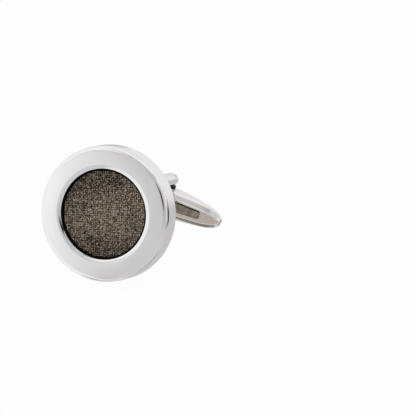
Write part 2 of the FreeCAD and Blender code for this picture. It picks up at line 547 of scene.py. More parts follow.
class Workpiece:
    """A mesh on the bench, in edit mode, shaped by operators on its selected parts."""

    def __init__(self, name: str) -> None:
        """Take over the object that was just added, and put its place into its mesh.

        Args:
            name: The piece's name.
        """
        self.piece = bpy.context.active_object
        self.piece.name = name
        self.piece.data.name = name
        bpy.ops.object.transform_apply(location=True, rotation=True, scale=True)
        self.open()

    @classmethod
    def cylinder(
        cls, name: str, radius: float, low: Vector, high: Vector, segments: int
    ) -> "Workpiece":
        """Add a cylinder between the centres of its two ends.

        Args:
            name: The piece's name.
            radius: Its radius.
            low: The centre of one end.
            high: The centre of the other end.
            segments: How many sides it has.

        Returns:
            The cylinder on the bench.
        """
        clear_bench()
        along = high - low
        bpy.ops.mesh.primitive_cylinder_add(
            vertices=segments,
            radius=radius,
            depth=along.length,
            location=(low + high) / 2,
            rotation=along.to_track_quat("Z", "Y").to_euler(),
        )
        return cls(name)

    @classmethod
    def block(cls, name: str, low: Vector, high: Vector) -> "Workpiece":
        """Add a block between two corners.

        Args:
            name: The piece's name.
            low: Its lowest corner.
            high: Its highest corner.

        Returns:
            The block on the bench.
        """
        clear_bench()
        bpy.ops.mesh.primitive_cube_add(size=1.0, location=(low + high) / 2, scale=high - low)
        return cls(name)

    @classmethod
    def skin(cls, name: str, loops: Sequence[Sequence[Vector]]) -> "Workpiece":
        """Wrap a grid round sections that are drawn as closed loops.

        Args:
            name: The piece's name.
            loops: The sections in order, each with its first point again at the end.

        Returns:
            The piece on the bench.
        """
        rows = len(loops) - 1
        columns = len(loops[0]) - 1
        clear_bench()
        bpy.ops.mesh.primitive_grid_add(x_subdivisions=rows, y_subdivisions=columns, size=1.0)
        piece = cls(name)
        set_mode("OBJECT")
        for vertex in piece.piece.data.vertices:
            row = round((vertex.co.x + 0.5) * rows)
            column = round((vertex.co.y + 0.5) * columns)
            vertex.co = loops[row][column]
        piece.open()
        piece.close()
        return piece

    def open(self) -> None:
        """Put this piece alone on the bench, in edit mode."""
        put_on_bench(self.piece)
        set_mode("EDIT")

    def close(self) -> None:
        """Merge the points that meet, and turn all faces outwards."""
        self.pick_all()
        bpy.ops.mesh.remove_doubles(threshold=MERGE)
        bpy.ops.mesh.normals_make_consistent(inside=False)

    @staticmethod
    def pick_all() -> None:
        """Select the whole mesh."""
        bpy.ops.mesh.select_all(action="SELECT")

    def _pick(self, mode: str, parts: str, test: Callable[[Any], bool]) -> bmesh.types.BMesh:
        """Select vertices, edges or faces.

        Args:
            mode: The select mode.
            parts: The name of the mesh's list of such parts.
            test: Says whether a part is wanted.

        Returns:
            The mesh in edit mode.
        """
        bpy.ops.mesh.select_mode(type=mode)
        bpy.ops.mesh.select_all(action="DESELECT")
        mesh = bmesh.from_edit_mesh(self.piece.data)
        for part in getattr(mesh, parts):
            if test(part):
                part.select_set(True)
        bmesh.update_edit_mesh(self.piece.data)
        return mesh

    def pick_faces(self, test: Callable[[Vector, Vector], bool]) -> None:
        """Select the faces whose middle and normal pass a test."""
        bmesh.from_edit_mesh(self.piece.data).normal_update()
        self._pick("FACE", "faces", lambda face: test(face.calc_center_median(), face.normal))

    def pick_edges(self, test: Callable[[Vector, Vector], bool]) -> None:
        """Select the edges whose two ends pass a test."""
        self._pick("EDGE", "edges", lambda edge: test(edge.verts[0].co, edge.verts[1].co))

    def pick_points(self, test: Callable[[Vector], bool]) -> None:
        """Select the vertices whose place passes a test, and what lies between them."""
        self._pick("VERT", "verts", lambda vertex: test(vertex.co)).select_flush_mode()
        bmesh.update_edit_mesh(self.piece.data)

    def inset(self, width: float) -> None:
        """Inset the selected faces."""
        bpy.ops.mesh.inset(thickness=width, depth=0.0)

    def extrude(self, by: Vector) -> None:
        """Extrude the selected faces."""
        bpy.ops.mesh.extrude_region_move(TRANSFORM_OT_translate={"value": by})

    def move(self, by: Vector) -> None:
        """Move what is selected."""
        bpy.ops.transform.translate(value=by)

    def resize(self, by: Vector, centre: Vector) -> None:
        """Resize what is selected about a point."""
        bpy.ops.transform.resize(value=by, center_override=centre)

    def bevel(self, width: float, steps: int) -> None:
        """Bevel the selected edges."""
        bpy.ops.mesh.bevel(offset=width, offset_type="OFFSET", segments=steps, affect="EDGES")

    def split(self, place: Vector, normal: Vector, keep_below: bool = False) -> None:
        """Cut the whole mesh with a plane.

        Args:
            place: A point on the plane.
            normal: The plane's normal.
            keep_below: Whether the side that the normal points to is removed and the cut closed.
        """
        self.pick_all()
        bpy.ops.mesh.bisect(
            plane_co=place,
            plane_no=normal,
            clear_outer=keep_below,
            use_fill=keep_below,
            threshold=ON_PLANE,
        )

    def modify(self, kind: str, **settings: Any) -> None:
        """Add a modifier in object mode, and apply it.

        Args:
            kind: The modifier's type.
            settings: Its settings.
        """
        modifier = self.piece.modifiers.new(kind.lower(), kind)
        for name, value in settings.items():
            setattr(modifier, name, value)
        bpy.ops.object.modifier_apply(modifier=modifier.name)

    def cut(self, tool: "Workpiece") -> None:
        """Cut the shape of another workpiece out of this one, and take that one away.

        Args:
            tool: The other workpiece.
        """
        put_on_bench(self.piece)
        self.modify("BOOLEAN", operation="DIFFERENCE", solver="EXACT", object=tool.piece)
        bpy.data.objects.remove(tool.piece)
        set_mode("EDIT")

    def drill(self, radius: float, low: Vector, high: Vector, segments: int) -> None:
        """Drill a round hole from one point to another."""
        self.cut(Workpiece.cylinder("drill", radius, low, high, segments))

    def drill_hinge(self, radius: float, y: float, reach: float, segments: int) -> None:
        """Drill along the hinge's axis, as far as the reach on both sides."""
        self.drill(radius, Vector((0.0, y, -reach)), Vector((0.0, y, reach)), segments)

    def finish(self, crease_deg: float = 32.0, even: bool = True) -> bpy.types.Object:
        """Close the mesh and shade it smooth between its sharp edges.

        Args:
            crease_deg: The angle from which an edge stays sharp.
            even: Whether large faces set the normals, which keeps flats flat.

        Returns:
            The finished piece.
        """
        bpy.ops.mesh.select_mode(type="VERT")
        self.close()
        set_mode("OBJECT")
        bpy.ops.object.shade_smooth_by_angle(angle=math.radians(crease_deg))
        if even:
            self.modify("WEIGHTED_NORMAL", keep_sharp=True, weight=FACE_WEIGHT)
        return self.piece


def paint(piece: bpy.types.Object, material: bpy.types.Material) -> None:
    """Give a piece its one material."""
    piece.data.materials.clear()
    piece.data.materials.append(material)


def dress(
    piece: bpy.types.Object, material: bpy.types.Material, body: Body, slot: Slot, *nodes: str
) -> None:
    """Give a finished piece its material and body, and put it in its nodes' place.

    Args:
        piece: The finished piece.
        material: Its material.
        body: The body that it rides on.
        slot: Not used.
        nodes: The CAD nodes that it stands for.
    """
    paint(piece, material)
    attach(piece, body.value)
    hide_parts(*nodes)
    LOG.info("%s: %d faces, on %s", piece.name, len(piece.data.polygons), body.value)


def dress_node(node: str, material: bpy.types.Material) -> None:
    """Give a CAD node that stays its material.

    Args:
        node: The node's name.
        material: Its material.
    """
    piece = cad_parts[node]
    paint(piece, material)
    LOG.info("%s: kept, %d faces", node, len(piece.data.polygons))


def from_post(place: Vector) -> float:
    """The distance of a point from the post's axis."""
    return math.hypot(place.x, place.z)


def along_post(y: float) -> Vector:
    """A point or a move on the post's axis."""
    return Vector((0.0, y, 0.0))


def on_circle(distance: float, y: float) -> Callable[[Vector, Vector], bool]:
    """The test for the edges of one circle about the post.

    Args:
        distance: The circle's radius.
        y: Its level.

    Returns:
        A test of an edge's two ends.
    """
    def on_it(end: Vector) -> bool:
        """Whether a point lies on the circle."""
        return abs(from_post(end) - distance) < NEAR and abs(end.y - y) < NEAR

    return lambda a, b: on_it(a) and on_it(b)


def ball_radius(edge: float, rise: float) -> float:
    """The radius of the ball whose cap has this edge and this rise."""
    return (edge ** 2 + rise ** 2) / (2 * rise)


@dataclass
class Head:
    """The polished cup with its wide ring, and the inlay's bed, coloured near black as painted
    shade round the disc.
    """

    segments: int = 224
    ring_fall: float = 0.18 * MM
    edge_radius: float = 0.7 * MM
    edge_steps: int = 12
    back_radius: float = 0.4 * MM
    back_steps: int = 6
    mouth_flare: float = 0.305 * MM
    mouth_drop: float = 0.2 * MM
    mouth_round: float = 0.22 * MM
    mouth_steps: int = 5
    rivet_play: float = 0.02 * MM
    rivet_segments: int = 64
    plating: PolishedPlating = PolishedPlating(
        "head_plating", (0.88, 0.88, 0.885), (0.84, 0.84, 0.85)
    )
    # the bed's near-black colour is painted shade in the recess round the inlay
    bed: BlackShadeBed = BlackShadeBed("black_shade_bed", (0.002, 0.002, 0.002), (0.006, 0.0055, 0.005))
    # the backing is coloured near black as painted shade, seen in the gaps between the strands
    backing: PlainSteel = PlainSteel(
        "backing_sheet_shade", (0.03, 0.027, 0.024), (0.015, 0.013, 0.012), roughness=0.5
    )

    def build_cup(self) -> bpy.types.Object:
        """Turn the cup: ring, rounded rim, mouth for the inlay and seat for foot and rivet.

        Returns:
            The cup.
        """
        low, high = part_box("bezel_cup")
        radius = high.x
        bed_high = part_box("inlay_bedding")[1]
        foot_low, foot_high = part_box("post_foot")
        mouth = bed_high.x
        ends = along_post(low.y), along_post(high.y)
        cup = Workpiece.cylinder("polished_cup", radius, *ends, self.segments)
        cup.pick_faces(lambda middle, normal: normal.y < -SQUARELY)
        cup.inset(radius - mouth - self.mouth_flare)
        cup.inset(self.mouth_flare)
        cup.move(along_post(self.mouth_drop))
        cup.extrude(along_post(bed_high.y - low.y - self.mouth_drop))
        cup.pick_faces(lambda middle, normal: normal.y > SQUARELY)
        cup.inset(radius - foot_high.x)
        cup.extrude(along_post(foot_low.y - high.y))
        cup.pick_points(lambda place: from_post(place) > radius - NEAR and place.y < low.y + NEAR)
        cup.move(along_post(self.ring_fall))
        for distance, y, width, steps in (
            (radius, low.y + self.ring_fall, self.edge_radius, self.edge_steps),
            (radius, high.y, self.back_radius, self.back_steps),
            (mouth + self.mouth_flare, low.y, self.mouth_round, self.mouth_steps),
        ):
            cup.pick_edges(on_circle(distance, y))
            cup.bevel(width, steps)
        cup.drill(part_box("post_rivet")[1].x + self.rivet_play, *ends, self.rivet_segments)
        return cup.finish()

    def build(self) -> None:
        """Build the cup and dress it, the bed and the backing."""
        dress(self.build_cup(), self.plating.make(), Body.HEAD, Slot.HEAD_METAL, "bezel_cup")
        dress_node("inlay_bedding", self.bed.make())
        dress_node("inlay_backing", self.backing.make())


@dataclass
class WovenInlay:
    """The woven disc: strands over and under each other both ways, trimmed to a circle."""

    strands: int = 38
    sides: int = 8
    flatness: float = 0.56
    fill: float = 0.9
    width_spread: float = 0.12
    drift: float = 0.018 * MM
    wander: float = 0.008 * MM
    wander_seeds: int = 9999
    turn_deg: float = -15.9
    crease_deg: float = 80.0
    seed: int = 7
    wire: WovenWire = WovenWire(
        "woven_wire",
        (0.44, 0.37, 0.297),
        (0.13, 0.107, 0.083),
        (0.012, 0.009, 0.0065),
        "strand_tone",
    )

    def __post_init__(self) -> None:
        """Work out the weave's own sizes from the disc that it fills."""
        low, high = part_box("inlay_mesh")
        self.radius = high.x
        self.pitch = 2 * self.radius / self.strands
        self.middle_y = (low.y + high.y) / 2
        self.half_width = self.fill * self.pitch / 2
        self.swing = (high.y - low.y) / 2 - self.flatness * self.half_width - self.wander

    def build_strand(self) -> bpy.types.Object:
        """Make the one strand that all are copied from: a flattened wire waved over and under.

        Returns:
            The strand, which lies along X.
        """
        reach = (self.strands / 2 + 1) * self.pitch
        middle = along_post(self.middle_y)
        strand = Workpiece.cylinder(
            "strand", self.half_width, middle - ACROSS * reach, middle + ACROSS * reach, self.sides
        )
        strand.pick_all()
        strand.resize(Vector((1.0, self.flatness, 1.0)), middle)
        strand.pick_edges(lambda a, b: abs(a.x - b.x) > reach)
        bpy.ops.mesh.subdivide(number_cuts=2 * (self.strands + 2) - 1)
        wave = 2 * self.pitch
        for way in (1, -1):
            crest = way * self.pitch / 2
            strand.pick_points(
                lambda place: abs((place.x - crest + self.pitch) % wave - self.pitch) < NEAR
            )
            strand.move(along_post(-way * self.swing))
        return strand.finish(self.crease_deg, even=False)

    def lay(self, master: bpy.types.Object, number: int, chance: random.Random) -> bpy.types.Object:
        """Copy the strand to its place in the weave and trim it to the circle.

        Args:
            master: The strand to copy.
            number: Its number across the weave.
            chance: The source of its small irregularities.

        Returns:
            The strand in its place.
        """
        across = (0.5 - self.strands / 2) * self.pitch + number * self.pitch
        shift = (across - self.pitch / 2) % (2 * self.pitch)
        if shift > self.pitch:
            shift -= 2 * self.pitch
        copy = copy_of(master)
        copy.location = (shift, 0.0, across + chance.uniform(-self.drift, self.drift))
        copy.scale = (1.0, 1.0, 1.0 + chance.uniform(-self.width_spread, self.width_spread))
        strand = Workpiece("strand")
        strand.pick_all()
        seed = chance.randrange(1, self.wander_seeds)
        bpy.ops.transform.vertex_random(offset=self.wander, seed=seed)
        end = math.sqrt(self.radius ** 2 - across ** 2)
        for way in (1, -1):
            place = Vector((way * end, 0.0, across))
            strand.split(place, place.normalized(), keep_below=True)
        set_mode("OBJECT")
        tone = copy.data.attributes.new(self.wire.strand_attribute, "FLOAT", "POINT")
        value = chance.random()
        tone.data.foreach_set("value", [value] * len(copy.data.vertices))
        return copy

    def build(self) -> None:
        """Weave the strands both ways, join them and dress the disc."""
        chance = random.Random(self.seed)
        master = self.build_strand()
        laid = []
        for turn in (0.0, -QUARTER_TURN):
            for number in range(self.strands):
                strand = self.lay(master, number, chance)
                strand.rotation_euler = (0.0, turn + math.radians(self.turn_deg), 0.0)
                laid.append(strand)
        bpy.data.objects.remove(master)
        disc = laid[0]
        put_on_bench(disc)
        for strand in laid:
            strand.select_set(True)
        bpy.ops.object.transform_apply(location=True, rotation=True, scale=True)
        bpy.ops.object.join()
        disc.name = "woven_disc"
        disc.data.name = "woven_disc"
        dress(disc, self.wire.make(), Body.HEAD, Slot.WEAVE, "inlay_mesh")


@dataclass
class Post:
    """The foot on the back of the cup, the forked strip and the rivet that holds them."""

    strip_thickness: float = 1.3 * MM
    eye_width: float = 1.8 * MM
    eye_steps: int = 16
    bend_radius: float = 0.9 * MM
    bend_steps: int = 12
    arm_steps: int = 10
    flat_steps: int = 3
    soft_edge: float = 0.6 * MM
    soft_steps: int = 8
    foot_edge: float = 0.2 * MM
    foot_segments: int = 128
    rivet_radius: float = 0.8 * MM
    rivet_head_rise: float = 0.6 * MM
    rivet_flare_depth: float = 0.5 * MM
    rivet_segments: int = 64
    pin_hole_radius: float = 0.46 * MM
    play: float = 0.01 * MM
    plating: PolishedPlating = POST_PLATING

    def __post_init__(self) -> None:
        """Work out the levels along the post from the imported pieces."""
        self.low, self.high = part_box("post_yoke")
        self.seat_y = self.low.y + self.strip_thickness
        self.hinge_y = self.high.y - self.eye_width / 2
        self.rivet_low, self.rivet_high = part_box("post_rivet")

    def drill_for_rivet(self, piece: Workpiece) -> None:
        """Drill the rivet's hole.

        Args:
            piece: The foot or the fork.
        """
        low = along_post(self.rivet_low.y - MM)
        high = along_post(self.seat_y + MM)
        piece.drill(self.rivet_radius + self.play, low, high, self.rivet_segments)

    def build_foot(self) -> bpy.types.Object:
        """Turn the foot, and cut the slot that the strip lies in.

        Returns:
            The foot.
        """
        low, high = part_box("post_foot")
        foot = Workpiece.cylinder(
            "round_foot", high.x, along_post(low.y), along_post(high.y), self.foot_segments
        )
        foot.pick_edges(lambda a, b: min(a.y, b.y) > high.y - NEAR)
        foot.bevel(self.foot_edge, self.soft_steps)
        far = Vector((self.high.x + self.play, high.y + MM, high.x + MM))
        foot.cut(Workpiece.block("strip_slot", Vector((-far.x, self.low.y, -far.z)), far))
        self.drill_for_rivet(foot)
        return foot.finish()

    def section(self, half_width: float, past_eye: float) -> list[Pair]:
        """Draw half of the strip's section, from its middle to its rounded side.

        Args:
            half_width: Half of the strip's width there.
            past_eye: How far the section lies beyond the middle of the eye, or zero before it.

        Returns:
            Pairs of the distance from the strip's middle and the height above its mid-plane.
        """
        round_start = half_width - self.soft_edge
        core = self.strip_thickness / 2 - self.soft_edge
        outline = []
        for step in range(self.soft_steps + 1):
            angle = QUARTER_TURN * step / self.soft_steps
            reach = max(round_start + self.soft_edge * math.sin(angle), past_eye)
            rounded = max(0.0, reach - round_start)
            height = core + math.sqrt(max(0.0, self.soft_edge ** 2 - rounded ** 2))
            outline.append((math.sqrt(reach ** 2 - past_eye ** 2), height))
        edge, height = outline[0]
        flat = [(edge * step / self.flat_steps, height) for step in range(self.flat_steps)]
        return flat + outline

    def loop(
        self, place: Vector, outwards: Vector, half_width: float, past_eye: float = 0.0
    ) -> list[Vector]:
        """Put a section in its place on the bent strip, as a closed loop.

        Args:
            place: The middle of the strip there.
            outwards: The direction of the strip's outer face there.
            half_width: Half of the strip's width there.
            past_eye: How far the section lies beyond the middle of the eye.

        Returns:
            The loop's points, the first one again at the end.
        """
        half = self.section(half_width, past_eye)
        right = [place + ACROSS * x + outwards * height for x, height in half]
        right += [place + ACROSS * x - outwards * height for x, height in reversed(half)]
        left = [Vector((-point.x, point.y, point.z)) for point in reversed(right[:-1])]
        return right + left

    def arm_loops(self, way: int) -> list[list[Vector]]:
        """Draw one arm's sections: round eye, tapered arm, and bend as far as the bridge's middle.

        Args:
            way: 1 for the upper arm and -1 for the lower one.

        Returns:
            The loops, from the end of the eye.
        """
        tip = self.eye_width / 2
        root = self.high.x
        arm_z = self.high.z - self.strip_thickness / 2
        bridge_y = self.low.y + self.strip_thickness / 2
        bend = self.bend_radius + self.strip_thickness / 2
        bend_y = bridge_y + bend

        def half_width(y: float) -> float:
            """Half of the strip's width at one level."""
            share = (self.hinge_y - y) / (self.hinge_y - self.seat_y)
            return tip + (root - tip) * min(share, 1.0)

        loops = []
        for step in range(self.eye_steps):
            beyond = tip * math.cos(QUARTER_TURN * step / self.eye_steps)
            place = Vector((0.0, self.hinge_y + beyond, way * arm_z))
            loops.append(self.loop(place, UP * way, tip, beyond))
        for step in range(self.arm_steps):
            y = self.hinge_y + (bend_y - self.hinge_y) * step / self.arm_steps
            loops.append(self.loop(Vector((0.0, y, way * arm_z)), UP * way, half_width(y)))
        for step in range(self.bend_steps + 1):
            angle = QUARTER_TURN * step / self.bend_steps
            outwards = Vector((0.0, -math.sin(angle), way * math.cos(angle)))
            place = Vector((0.0, bend_y, way * (arm_z - bend))) + outwards * bend
            loops.append(self.loop(place, outwards, half_width(place.y)))
        loops.append(self.loop(along_post(bridge_y), along_post(-1.0), root))
        return loops

    def build_fork(self) -> bpy.types.Object:
        """Bend the strip into a fork: bridge, two tapered arms and their round eyes.

        Returns:
            The fork.
        """
        fork = Workpiece.skin("forked_strip", self.arm_loops(1) + self.arm_loops(-1)[-2::-1])
        reach = self.high.z + MM
        fork.drill_hinge(self.pin_hole_radius, self.hinge_y, reach, self.rivet_segments)
        self.drill_for_rivet(fork)
        return fork.finish()

    def build_rivet(self) -> bpy.types.Object:
        """Make the rivet: domed head, shank and flared end.

        Returns:
            The rivet.
        """
        edge = self.rivet_high.x
        ball = ball_radius(edge, self.rivet_head_rise)
        clear_bench()
        bpy.ops.mesh.primitive_uv_sphere_add(
            segments=self.rivet_segments,
            ring_count=self.rivet_segments,
            radius=ball,
            location=along_post(self.seat_y + self.rivet_head_rise - ball),
            rotation=(QUARTER_TURN, 0.0, 0.0),
        )
        rivet = Workpiece("domed_rivet")
        rivet.split(along_post(self.seat_y), along_post(-1.0), keep_below=True)
        rivet.pick_faces(
            lambda middle, normal: normal.y < -SQUARELY and middle.y < self.seat_y + NEAR
        )
        rivet.inset(edge - self.rivet_radius)
        rivet.extrude(along_post(self.rivet_low.y + self.rivet_flare_depth - self.seat_y))
        rivet.extrude(along_post(-self.rivet_flare_depth))
        spread = edge / self.rivet_radius
        rivet.resize(Vector((spread, 1.0, spread)), along_post(self.rivet_low.y))
        return rivet.finish()

    def build(self) -> None:
        """Build foot, fork and rivet, and dress them."""
        metal = self.plating.make()
        # the fork's plating carries a ring of painted shade round the hinge pin
        fork_metal = replace(self.plating, name="fork_plating", crevice_shade_y=self.hinge_y).make()
        dress(self.build_foot(), metal, Body.HEAD, Slot.POST_METAL, "post_foot")
        dress(self.build_fork(), fork_metal, Body.HEAD, Slot.POST_METAL, "post_yoke")
        dress(self.build_rivet(), metal, Body.HEAD, Slot.POST_METAL, "post_rivet")


@dataclass
class Hinge:
    """The pin with its riveted ends, and the two washers beside the toggle."""

    pin_radius: float = 0.45 * MM
    head_rise: float = 0.18 * MM
    head_radius: float = 0.53 * MM
    head_steps: int = 8
    square_half: float = 0.35 * MM
    square_reach: float = 0.79 * MM
    segments: int = 64
    washer_hole: float = 0.48 * MM
    washer_edge: float = 0.04 * MM
    washer_edge_steps: int = 2
    plating: PolishedPlating = replace(POST_PLATING, name="pin_plating")
    # the washers are coloured near black as painted shade in the gap between the fork's arms and
    # the toggle
    steel: PlainSteel = PlainSteel("washer_steel_shade", (0.07, 0.067, 0.063), (0.04, 0.038, 0.036))

    def __post_init__(self) -> None:
        """Find the hinge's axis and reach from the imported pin."""
        low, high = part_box("hinge_pin")
        self.axis = along_post((low.y + high.y) / 2)
        self.shoulder = high.z - self.head_rise

    def rod(self, name: str, radius: float, low: float, high: float) -> Workpiece:
        """Add a cylinder on the hinge's axis, between two heights."""
        ends = self.axis + UP * low, self.axis + UP * high
        return Workpiece.cylinder(name, radius, *ends, self.segments)

    def build_pin(self) -> bpy.types.Object:
        """Make the pin: shank, squared middle and a domed head at each end.

        Returns:
            The pin.
        """
        pin = self.rod("riveted_pin", self.pin_radius, -self.shoulder, self.shoulder)
        ball = ball_radius(self.head_radius, self.head_rise)
        for way in (1, -1):
            pin.pick_faces(lambda middle, normal: normal.z * way > SQUARELY and middle.z * way > 0)
            width, height = self.pin_radius, 0.0
            for step in range(self.head_steps):
                reach = self.head_radius * math.cos(QUARTER_TURN * step / self.head_steps)
                level = math.sqrt(ball ** 2 - reach ** 2) - (ball - self.head_rise)
                pin.extrude(UP * way * (level - height))
                growth = reach / width
                centre = self.axis + UP * way * (self.shoulder + level)
                pin.resize(Vector((growth, growth, 1.0)), centre)
                width, height = reach, level
        near = Vector((self.square_half, -MM, -self.square_reach))
        far = Vector((MM, MM, self.square_reach))
        for turn in range(4):
            side = Matrix.Rotation(turn * QUARTER_TURN, 3, "Z")
            ends = side @ near, side @ far
            low, high = (Vector(map(pick, *ends)) + self.axis for pick in (min, max))
            pin.cut(Workpiece.block("pin_flat", low, high))
        return pin.finish()

    def build_washer(self) -> bpy.types.Object:
        """Make the upper washer: a flat ring with softened edges.

        Returns:
            The washer.
        """
        low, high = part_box("upper_washer")
        washer = self.rod("upper_ring", high.x, low.z, high.z)
        washer.pick_edges(lambda a, b: abs(a.z - b.z) < NEAR)
        washer.bevel(self.washer_edge, self.washer_edge_steps)
        washer.pick_faces(lambda middle, normal: abs(normal.z) > LEVEL)
        washer.inset(high.x - self.washer_edge - self.washer_hole)
        bpy.ops.mesh.bridge_edge_loops()
        return washer.finish()

    def build(self) -> None:
        """Build the pin and the washers, and dress them."""
        dress(self.build_pin(), self.plating.make(), Body.HEAD, Slot.POST_METAL, "hinge_pin")
        steel = self.steel.make()
        upper = self.build_washer()
        lower = copy_of(upper)
        lower.name = "lower_ring"
        lower.data.name = "lower_ring"
        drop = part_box("lower_washer")[0].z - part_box("upper_washer")[0].z
        lower.data.transform(Matrix.Translation(UP * drop))
        dress(upper, steel, Body.HEAD, Slot.WASHER, "upper_washer")
        dress(lower, steel, Body.HEAD, Slot.WASHER, "lower_washer")


@dataclass
class Toggle:
    """The tapered swivel toggle with its flat inner face, bevels, slot and folded spring."""

    face_depth: float = 1.9 * MM
    width: float = 3.2 * MM
    tip_width: float = 2.65 * MM
    depth: float = 3.8 * MM
    tip_depth: float = 1.65 * MM
    crown: float = 3.0 * MM
    bevel: float = 0.5 * MM
    upper_spread: float = 1.5
    lower_spread: float = 1.0
    nose_sharpness: float = 8.0
    nose_bevel_share: float = 0.8
    least_rise: float = NEAR / 100
    edge_softness: float = 0.06 * MM
    flat_softness: float = 0.28 * MM
    side_softness: float = 0.36 * MM
    soft_share: float = 0.4
    side_reach: float = 1.917 * MM
    straight_steps: int = 12
    nose_start: float = 0.6
    nose_steps: int = 28
    flat_steps: int = 4
    back_steps: int = 28
    corner_steps: int = 6
    crease_deg: float = 24.0
    bore_radius: float = 0.48 * MM
    bore_segments: int = 64
    slot_length: float = 5.6 * MM
    slot_overrun: float = 1.0 * MM
    slot_width: float = 1.58 * MM
    slot_end_width: float = 1.1 * MM
    slot_corner: float = 0.3 * MM
    slot_corner_steps: int = 8
    spring_play: float = 0.12 * MM
    spring_sag: float = 0.11 * MM
    spring_thickness: float = 0.25 * MM
    spring_tail: float = 1.0 * MM
    plating: PolishedPlating = PolishedPlating(
        "toggle_plating", (0.865, 0.855, 0.845), (0.825, 0.815, 0.805), 0.06, 0.05
    )
    spring: PlainSteel = PlainSteel(
        "spring_steel", (0.5, 0.425, 0.335), (0.22, 0.18, 0.14), (1.0, 3.0, 3.0), 0.32, 650.0, 0.2
    )

    def __post_init__(self) -> None:
        """Find the toggle's length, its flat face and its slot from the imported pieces."""
        self.half_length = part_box("toggle_body")[1].x
        pin_low, pin_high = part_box("hinge_pin")
        self.axis_y = (pin_low.y + pin_high.y) / 2
        self.face_y = self.axis_y - self.face_depth
        self.slot_floor_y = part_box("leaf_spring")[1].y

    def taper(self, middle: float, tip: float, x: float) -> float:
        """A size that runs from the middle over a round crown to the tip.

        Args:
            middle: The size at the hinge.
            tip: The size at the tip.
            x: The distance along the toggle.

        Returns:
            The size there.
        """
        run = math.hypot(x, self.crown) - self.crown
        whole = math.hypot(self.half_length, self.crown) - self.crown
        return middle + (tip - middle) * run / whole

    def stations(self) -> list[float]:
        """Space out the sections along half the toggle, close together at the nose.

        Returns:
            The distances from the hinge.
        """
        straight = range(self.straight_steps)
        places = [self.nose_start * step / self.straight_steps for step in straight]
        start = math.asin(self.nose_start ** (self.nose_sharpness / 2))
        for step in range(self.nose_steps + 1):
            angle = start + (QUARTER_TURN - start) * step / self.nose_steps
            places.append(math.sin(angle) ** (2 / self.nose_sharpness))
        return [self.half_length * place for place in places]

    def soften(
        self, before: Vector, corner: Vector, after: Vector, softness: float
    ) -> list[Vector]:
        """Round a corner of the section a little.

        Args:
            before: The point before the corner.
            corner: The corner.
            after: The point after it.
            softness: How far from the corner the rounding starts.

        Returns:
            The points of the rounded corner.
        """
        legs = []
        for end in (before, after):
            side = end - corner
            share = min(self.soft_share, softness / max(side.length, NEAR))
            legs.append(corner + side * share)
        points = []
        for step in range(self.corner_steps + 1):
            share = step / self.corner_steps
            points.append(legs[0].lerp(corner, share).lerp(corner.lerp(legs[1], share), share))
        return points

    def half_section(
        self, x: float, spread: float, flat_softness: float, side_softness: float
    ) -> list[Vector]:
        """Draw the upper half of the section: flat face, bevel and round back.

        Args:
            x: The distance along the toggle.
            spread: How far the bevel reaches across the flat face, as a share of its depth.
            flat_softness: How far from the edge of the flat face its rounding starts.
            side_softness: The same for the bevel's outer edge.

        Returns:
            The points from the middle of the flat face to the middle of the back.
        """
        closing = math.sqrt(max(0.0, 1 - (abs(x) / self.half_length) ** self.nose_sharpness))
        half_width = self.taper(self.width, self.tip_width, x) / 2 * closing
        widest = self.nose_bevel_share * half_width
        side_y = self.face_y + self.bevel
        flat_y = side_y - min(self.bevel, widest)
        rise = (self.taper(self.depth, self.tip_depth, x) - self.bevel) * closing
        rise = max(rise, self.least_rise)
        radius = ball_radius(half_width, rise)
        centre_y = side_y + rise - radius
        start = math.atan2(half_width, side_y - centre_y)
        flat_corner = Vector((x, flat_y, half_width - min(spread * self.bevel, widest)))
        side_corner = Vector((x, side_y, half_width))
        back = []
        for step in range(1, self.back_steps + 1):
            angle = start * (1 - step / self.back_steps)
            y = centre_y + radius * math.cos(angle)
            back.append(Vector((x, y, radius * math.sin(angle))))
        middle = Vector((x, flat_y, 0.0))
        half = [middle.lerp(flat_corner, step / self.flat_steps) for step in range(self.flat_steps)]
        half += self.soften(half[-2], flat_corner, side_corner, flat_softness)
        half += self.soften(flat_corner, side_corner, back[0], side_softness)
        half += back
        for point in half:
            point.z = min(point.z, self.side_reach)
        return half

    def section(self, x: float) -> list[Vector]:
        """Draw the whole section, whose upper bevel is broader and rounder than its lower one.

        Args:
            x: The distance along the toggle.

        Returns:
            The closed loop's points, the first one again at the end.
        """
        upper = self.half_section(x, self.upper_spread, self.flat_softness, self.side_softness)
        lower = self.half_section(x, self.lower_spread, self.edge_softness, self.edge_softness)
        return upper + [Vector((point.x, point.y, -point.z)) for point in reversed(lower[:-1])]

    def slot_block(self, name: str, top_y: float, play: float = 0.0) -> Workpiece:
        """A tapered block with a rounded end, which cuts the slot or, a little smaller, lies in it.

        Args:
            name: The block's name.
            top_y: Where it starts, on the side of the flat face.
            play: How far it stays inside the slot all round.

        Returns:
            The block on the bench.
        """
        half = self.slot_width / 2 - play
        end_x = self.slot_length - play
        low = Vector((play - self.slot_overrun, top_y, -half))
        block = Workpiece.block(name, low, Vector((end_x, self.slot_floor_y, half)))
        taper_end = self.slot_length - self.slot_end_width / 2
        for place in (0.0, taper_end):
            block.split(ACROSS * place, ACROSS)
        block.pick_points(lambda place: place.x > taper_end - NEAR)
        end_half = self.slot_end_width / 2 - play
        block.resize(Vector((1.0, 1.0, end_half / half)), Vector())
        block.pick_edges(lambda a, b: min(a.x, b.x) > end_x - NEAR and abs(a.y - b.y) > NEAR)
        block.bevel(self.slot_corner - play, self.slot_corner_steps)
        return block

